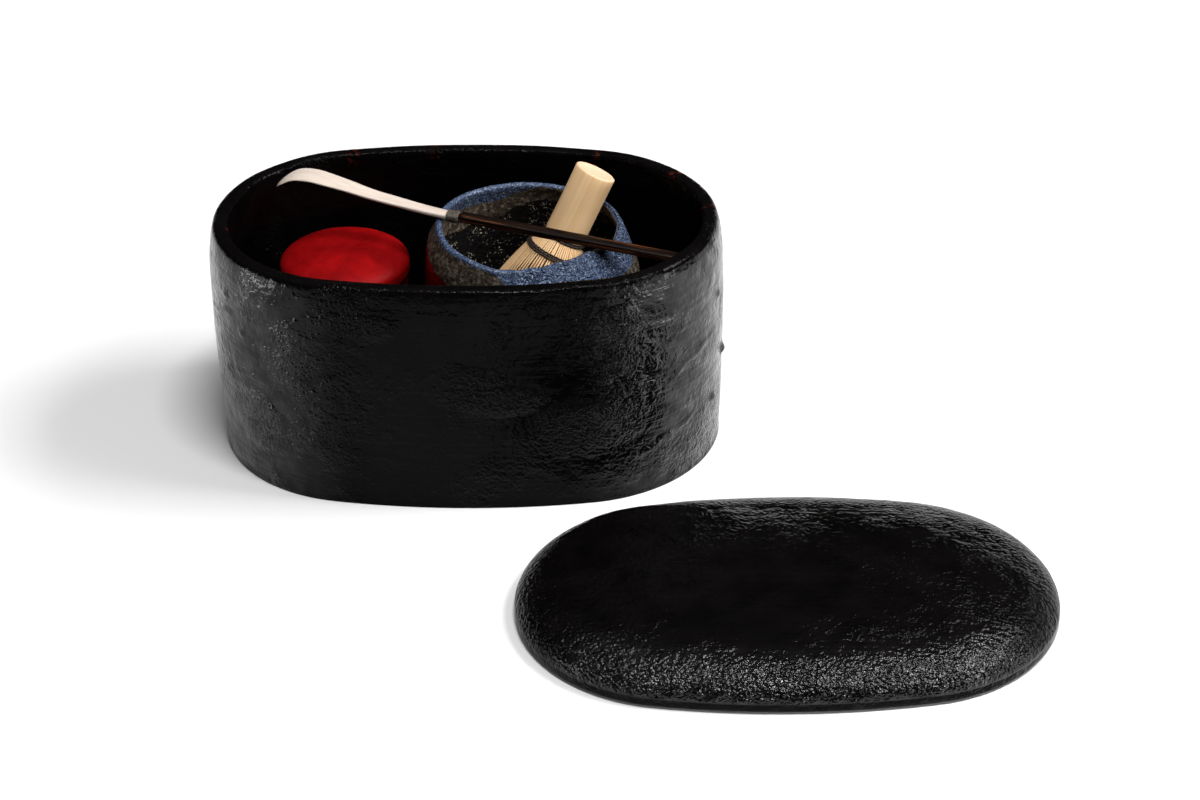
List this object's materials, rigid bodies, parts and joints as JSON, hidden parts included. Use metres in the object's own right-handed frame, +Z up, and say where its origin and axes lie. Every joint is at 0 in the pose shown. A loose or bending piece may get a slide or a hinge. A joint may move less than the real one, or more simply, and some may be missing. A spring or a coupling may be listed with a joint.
{
  "type": "tea ceremony box",
  "caption": "Oval lacquered tea box standing open with its domed lid beside it, holding a tea caddy, a deep tea bowl, a bamboo whisk and a tea scoop.",
  "frame": {"origin": "middle of the box's underside, on the surface it stands on", "axes": "+X along the box's length, +Z up; the lid lies towards -Y"},
  "size_m": [0.3929, 0.3117, 0.123],
  "materials": {
    "black_lacquer": "glossy dry lacquer over cloth, lumpy",
    "inner_lacquer": "satin lacquer",
    "red_lacquer": "satin polished lacquer",
    "bowl_glaze": "speckled blue satin glaze",
    "bamboo": "plain split bamboo",
    "dark_thread": "twisted dark thread",
    "ebony": "streaked dark wood, oiled",
    "pale_blade": "polished pale bone-like blade"
  },
  "bodies": {
    "box": {"box_wall": "black_lacquer", "box_floor_board": "inner_lacquer"},
    "lid": {"lid_dome": "black_lacquer", "lid_locating_lip": "inner_lacquer"},
    "caddy": {"caddy_body": "red_lacquer"},
    "caddy_lid": {"caddy_lid": "red_lacquer"},
    "bowl": {"tea_bowl": "bowl_glaze"},
    "whisk": {"whisk_handle": "bamboo", "whisk_outer_tines": "bamboo", "whisk_inner_tines": "bamboo", "whisk_thread": "dark_thread"},
    "scoop": {"scoop_handle": "ebony", "scoop_blade": "pale_blade", "scoop_binding": "dark_thread", "scoop_tenon": "bamboo"}
  },
  "joints": [
    {"name": "lid_lift", "type": "slide", "parent": "box", "child": "lid", "axis": [0, 0, 1], "range_m": [0, 0.15]},
    {"name": "bowl_lift", "type": "slide", "parent": "box", "child": "bowl", "axis": [0, 0, 1], "range_m": [0, 0.13]},
    {"name": "scoop_lift", "type": "slide", "parent": "bowl", "child": "scoop", "axis": [0, 0, 1], "range_m": [0, 0.26]},
    {"name": "whisk_lift", "type": "slide", "parent": "bowl", "child": "whisk", "axis": [0, 0, 1], "range_m": [0, 0.13]},
    {"name": "caddy_lift", "type": "slide", "parent": "box", "child": "caddy", "axis": [0, 0, 1], "range_m": [0, 0.13]},
    {"name": "caddy_lid_lift", "type": "slide", "parent": "caddy", "child": "caddy_lid", "axis": [0, 0, 1], "range_m": [0, 0.065]}
  ],
  "couplings": [
    {"joint": "whisk_lift", "follows": "scoop_lift", "ratio": 0.5},
    {"joint": "caddy_lift", "follows": "scoop_lift", "ratio": 0.5},
    {"joint": "caddy_lid_lift", "follows": "scoop_lift", "ratio": 0.25}
  ]
}
